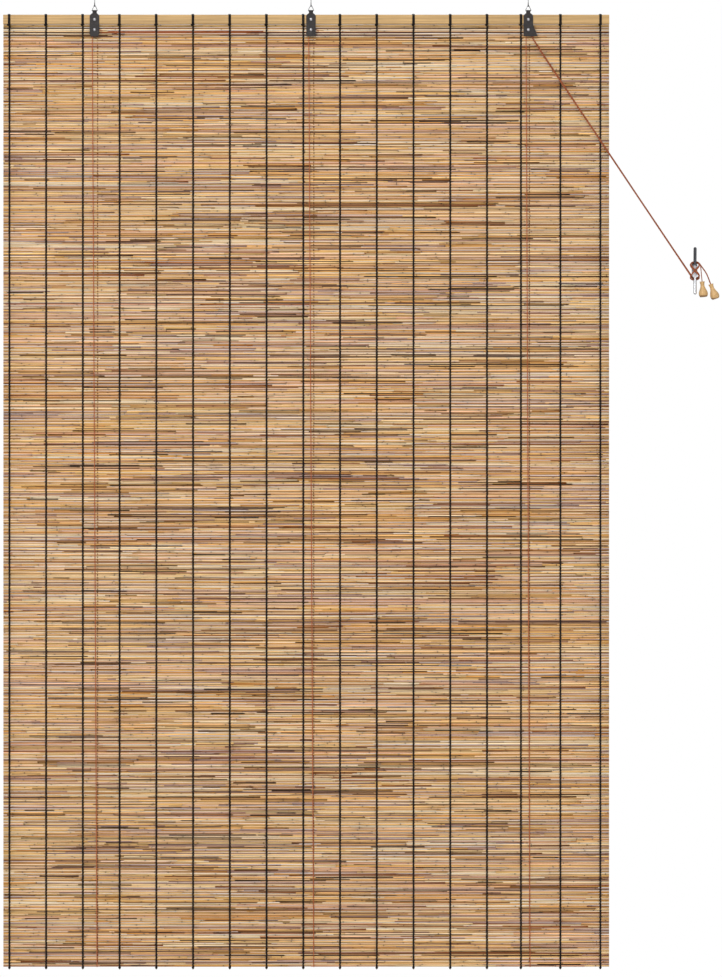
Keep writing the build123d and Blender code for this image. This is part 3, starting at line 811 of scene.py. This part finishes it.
def lane_of_stalks(dice, row, lane):
    """Where each stalk of a lane starts and stops, and the tones it is picked from."""
    left, right = mat_low.x, mat_high.x
    if (row, lane) in CHOSEN_STALKS:
        for start, stop, tone in CHOSEN_STALKS[row, lane]:
            yield max(start, left), min(stop, right), ((1, tone),)
        return
    x = left - dice.uniform(0.0, 0.4)
    while x < right - SHORTEST_STALK:
        length = min(max(dice.lognormvariate(*STALK_LENGTHS), 0.05), 1.0)
        start, stop = max(x, left), min(x + length, right)
        if stop - start > SHORTEST_STALK:
            yield start, stop, REED_TONES
        x += length - dice.uniform(0.004, 0.02)


def bundle_row(skin, dice, row, above, below):
    """One row of the mat: reeds side by side, dark splinters over the gaps among them, partly
    painted shade, and one reed behind.
    """
    left, right = mat_low.x, mat_high.x
    lanes = 3 if dice.random() < 0.2 and row > CHOSEN_ROWS else 2
    inner = [(lane + dice.uniform(-0.3, 0.3)) / lanes for lane in range(1, lanes)]
    cuts = [0.0, *inner, 1.0]
    for lane in range(lanes):
        upper = between(above, below, cuts[lane])
        lower = between(above, below, cuts[lane + 1])
        forward = dice.random() < 0.5
        for start, stop, tones in lane_of_stalks(dice, row, lane):
            y = mat_y + (FRONT_LAYER if forward else BACK_LAYER)
            add_stalk(skin, dice, start, stop, upper, lower, y, tones)
            forward = not forward
    # dark splinters along the row's edges and between its lanes, partly painted shade in those gaps
    for _ in range(dice.choice(SPLINTERS_AND_GAP_SHADES_IN_A_ROW) if row >= CHOSEN_ROWS else 0):
        length = min(max(dice.lognormvariate(*SPLINTER_AND_GAP_SHADE_LENGTHS), 0.03), 0.6)
        start = dice.uniform(left, right - length)
        share = dice.choice((0.0, 0.5, 1.0)) + dice.uniform(-0.1, 0.1)
        thick = dice.uniform(0.12, 0.22)
        upper = between(above, below, share - thick)
        lower = between(above, below, share + thick)
        y = mat_y + SPLINTER_AND_GAP_SHADE_LAYER
        add_stalk(skin, dice, start, start + length, upper, lower, y, SPLINTER_AND_GAP_SHADE_TONES)
    middle = dice.uniform(left + 0.3, right - 0.3)
    for start, stop in ((left, middle), (middle, right)):
        upper, lower = between(above, below, 0.22), between(above, below, 0.8)
        add_stalk(skin, dice, start, stop, upper, lower, mat_y + HIDDEN_LAYER)


def weave_mat(material):
    """The whole mat, in a few pieces from the rail down."""
    dice = random.Random(41)
    lines = []
    for row in range(ROWS + 1):
        inside = 0 < row < ROWS
        height = first_row - (row - 0.5) * row_pitch
        lines.append(level_line(dice, height, ROW_WANDER if inside else 0.0))
    bounds = [round(part * ROWS / MAT_PIECES) for part in range(MAT_PIECES + 1)]
    for number, (first, last) in enumerate(zip(bounds, bounds[1:]), 1):
        skin = Skin(8)
        for row in range(first, last):
            bundle_row(skin, dice, row, lines[row], lines[row + 1])
        piece = skin.piece(f"reeds_{number}", material)
        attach(piece, "blind")
        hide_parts("reed_mat")


# ---- warps ---------------------------------------------------------------------------
WRAP_CORD = 1.9 * MM
WRAP_CORNER = 2.6 * MM
TWINE_SIDEWAYS = 0.8 * MM
TWINE_CLEARANCE = 1.0 * MM
STRAND_RADIUS = 1.7
STRAND_SWELL = 0.45
# each knot's size and the radius of its cord
RAIL_KNOT = (3.0 * MM, 0.95 * MM)
FOOT_KNOT = (4.4 * MM, 1.3 * MM)


def knot_path(centre, size):
    """An overhand knot pulled tight, as a closed path."""
    turn = np.linspace(0.0, 2 * math.pi, 34)
    x = np.sin(turn) + 2 * np.sin(2 * turn)
    z = np.cos(turn) - 2 * np.cos(2 * turn)
    y = -np.sin(3 * turn)
    path = np.stack([x, y * 1.2, z], axis=1) * size / 6
    return path + np.asarray(centre)


def rail_wrap(skin, x, cord):
    """Three turns of cord round the head rail, side by side."""
    half = (rail_high.y - rail_low.y) / 2 + cord / 2
    low, high = rail_low.z - cord / 2, rail_high.z + cord / 2
    corner = WRAP_CORNER
    points = []
    centres = (
        (half - corner, high - corner, 0),
        (-half + corner, high - corner, 1),
        (-half + corner, low + corner, 2),
        (half - corner, low + corner, 3),
    )
    for turn in range(3):
        for y, z, quarter in centres:
            for step in range(4):
                angle = (quarter + step / 3) * math.pi / 2
                spot = (turn + (quarter + step / 3) / 4 - 1.5) * cord
                out, up = corner * math.cos(angle), corner * math.sin(angle)
                points.append((x + spot, y + out, z + up))
    sweep(skin, points, cord / 2)


def twined_strand(skin, x, phase):
    """One strand down the mat, over one row and under the next."""
    count = ROWS * 3 + 1
    row = np.linspace(-0.6, ROWS - 0.4, count)
    swing = np.cos(math.pi * row + phase)
    side = np.sign(swing) * np.abs(swing) ** 0.55
    reach = bundle / 2 + TWINE_CLEARANCE
    path = np.zeros((count, 3))
    path[:, 0] = x + TWINE_SIDEWAYS * np.sin(math.pi * row + phase)
    path[:, 1] = mat_y - reach * side
    path[:, 2] = first_row - row * row_pitch
    radii = (STRAND_RADIUS + STRAND_SWELL * np.abs(swing)) * MM
    sweep(skin, path, radii)


def warp(number, material):
    """One warp: its wrap and knot on the rail, two twined strands and the foot knot."""
    node_name = f"warp_cord_{number:02d}"
    low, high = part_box(node_name)
    x = (low.x + high.x) / 2
    skin = Skin(5)
    twined_strand(skin, x, 0.0)
    twined_strand(skin, x, math.pi)
    rail_wrap(skin, x, WRAP_CORD)
    rail_knot = (x - 2.6 * MM, rail_low.y - 1.2 * MM, rail_low.z - 1.9 * MM)
    size, cord_radius = RAIL_KNOT
    sweep(skin, knot_path(rail_knot, size), cord_radius)
    foot_knot = (x, mat_y, low.z + 3.5 * MM)
    size, cord_radius = FOOT_KNOT
    sweep(skin, knot_path(foot_knot, size), cord_radius)
    piece = skin.piece(f"warp_{number:02d}", material)
    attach(piece, "blind")
    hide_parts(node_name)


# ---- the lift cords' return runs -----------------------------------------------------
RUN_SHIFTS = (7.2, 6.6, 2.8)
RUN_TOP_ROW = 6
RUN_FOOT_ROW = ROWS - 2
STEPS_A_ROW = 5
BIGHT_FRONT = 2.1 * MM
RUN_CLEARANCE = 1.3 * MM
RUN_RADIUS = 1.05 * MM


def return_run(name, x, material):
    """A lift cord's run behind the mat, with the bights that show in the gaps between rows."""
    count = (RUN_FOOT_ROW - RUN_TOP_ROW) * STEPS_A_ROW + 1
    row = RUN_TOP_ROW + np.arange(count) / STEPS_A_ROW
    forward = np.abs(np.cos(math.pi * (row - 0.5))) ** 1.4
    front, back = mat_y - BIGHT_FRONT, mat_y + bundle / 2 + RUN_CLEARANCE
    path = np.zeros((count, 3))
    path[:, 0] = x + 0.3 * MM * np.sin(row * 0.9)
    path[:, 1] = back + (front - back) * forward
    path[:, 2] = first_row - row * row_pitch
    skin = Skin(6)
    sweep(skin, path, RUN_RADIUS)
    piece = skin.piece(f"return_run_{name}", material)
    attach(piece, "blind")


# ---- screw threads -------------------------------------------------------------------
THREAD_RADIUS = 0.28 * MM
STEPS_A_TURN = 14
SCREW_SPACING = 18.0 * MM
# each thread's start along its shank, length, radius and pitch
HOOK_THREAD = (0.6 * MM, 13.0 * MM, 1.36 * MM, 1.15 * MM)
CLEAT_THREAD = (20.6 * MM, 15.0 * MM, 1.8 * MM, 1.3 * MM)


def thread(skin, centre, axis, start, length, radius, pitch):
    """A fine thread wound round a shank along Z or Y."""
    turns = length / pitch
    angle = np.linspace(0.0, turns * 2 * math.pi, int(turns * STEPS_A_TURN))
    rise = start + np.linspace(0.0, length, len(angle))
    wide, deep = centre[0] + radius * np.cos(angle), centre[1] + radius * np.sin(angle)
    rows = [wide, deep, rise] if axis == "Z" else [wide, rise, deep]
    sweep(skin, np.stack(rows, axis=1), THREAD_RADIUS)


def add_threads(material):
    """Threads on the three hooks and on the cleat's screws."""
    for name in STATIONS:
        low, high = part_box(f"screw_hook_{name}")
        skin = Skin(6)
        shank = ((low.x + high.x) / 2, 0.0)
        thread(skin, shank, "Z", *HOOK_THREAD)
        piece = skin.piece(f"hook_thread_{name}", material)
        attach(piece, "fixings")
    low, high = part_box("cleat_screws")
    head = (high.z - low.z) / 2 - SCREW_SPACING / 2
    for name, z in (("upper", high.z - head), ("lower", low.z + head)):
        skin = Skin(6)
        shank = ((low.x + high.x) / 2, z)
        thread(skin, shank, "Y", *CLEAT_THREAD)
        piece = skin.piece(f"cleat_thread_{name}", material)
        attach(piece, "fixings")


# ---- putting it together -------------------------------------------------------------
def dress(node_name, material):
    """Gives a frame part its finish."""
    part = frame["nodes"][node_name]
    part.data.materials.clear()
    part.data.materials.append(material)


add_camera()
add_world()
add_area_light("key light", (-2.2, -5.0, 2.4), (0.0, 0.0, -1.0), 2.2, 190.0)
add_area_light("fill light", (3.4, -4.5, -0.6), (0.0, 0.0, -1.2), 3.0, 45.0)
bpy.context.scene.view_settings.view_transform = "Standard"

lit = (rgb(168, 92, 56), rgb(112, 60, 34))
rust = strand_cord("rust pull cord", *lit, 4.0, 0.0030, 1.0, 0.00018, 0.1)
single, single_path = pull_cord("right_cord", single_route, SINGLE_RADIUS, 0.0, rust)
pair, pair_path = pull_cord("twin_cord", pair_route, PLY_RADIUS, PLY_OFFSET, rust)
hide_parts("pull_cord_single", "tail_cord_single", "cord_winding")
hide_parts("pull_cord_pair", "tail_cord_pair", "cord_winding")
for piece, path, diameter, number in ((single, single_path, CORD, 1), (pair, pair_path, TWIN, 2)):
    edge = int(np.argmax(path[:, 0] > mat_high.x))
    landing = int(np.argmax(path[:, 0] > cleat_low.x - LANDING_GAP))
    start, end = tuple(path[edge]), tuple(path[landing])
    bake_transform(piece)
    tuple(start)
    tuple(end)
    tuple(path[0])

weave_mat(reed_material())
inky = (rgb(20, 16, 15), rgb(5, 4, 4))
black = strand_cord("black warp cord", *inky, 2.0, 0.0034, 0.0, 0.0002, 0.02)
for warp_number in range(1, WARPS + 1):
    warp(warp_number, black)

# painted shade: a darker copy of the rust lift cord for the return runs, seen between the reeds
shaded = (rgb(112, 58, 26), rgb(62, 30, 14))
shaded_rust = strand_cord("shaded lift cord", *shaded, 4.0, 0.0030, 1.0, 0.0002, 0.1)
for name, run_shift in zip(STATIONS, RUN_SHIFTS):
    return_run(name, joint_at[f"sheave_spin_{name}"].x + run_shift * MM, shaded_rust)

hook_steel = hook_metal()
link_steel = plain_metal("link steel", rgb(168, 168, 170), rgb(126, 126, 128), 0.2, 0.38)
rivet_steel = plain_metal("rivet steel", rgb(196, 194, 198), rgb(160, 158, 162), 0.34, 0.5)
paint = bracket_paint()
plastic = sheave_plastic()
run_braid = run_cord()
for name in STATIONS:
    dress(f"screw_hook_{name}", hook_steel)
    dress(f"hanging_link_{name}", link_steel)
    dress(f"bracket_{name}", paint)
    dress(f"mounting_rivet_{name}", rivet_steel)
    dress(f"sheave_axle_{name}", rivet_steel)
    dress(f"sheave_{name}", plastic)
    dress(f"lift_cord_{name}", run_braid)
add_threads(hook_steel)
dress("headrail", grained_wood("rail wood", rgb(204, 169, 115), rgb(164, 128, 78)))
dress("cleat", cleat_metal())
dress("cleat_screws", rivet_steel)
for number in (1, 2):
    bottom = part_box(f"pull_knob_{number}")[0].z
    pale, dark = rgb(214, 176, 122), rgb(190, 152, 100)
    wood = grained_wood(f"knob wood {number}", pale, dark, math.pi / 2, bottom)
    dress(f"pull_knob_{number}", wood)
    dress(f"stopper_knot_{number}", run_braid)

floor_mesh = bpy.data.meshes.new("floor")
floor_z = cad_box[0][2] - FLOOR_DROP
floor_corners = [(x, y, floor_z) for x, y in ((-4, -3), (4, -3), (4, 3), (-4, 3))]
floor_mesh.from_pydata(floor_corners, [], [(0, 1, 2, 3)])
floor_mesh.materials.append(floor_material())
floor = bpy.data.objects.new("floor", floor_mesh)
bpy.context.scene.collection.objects.link(floor)
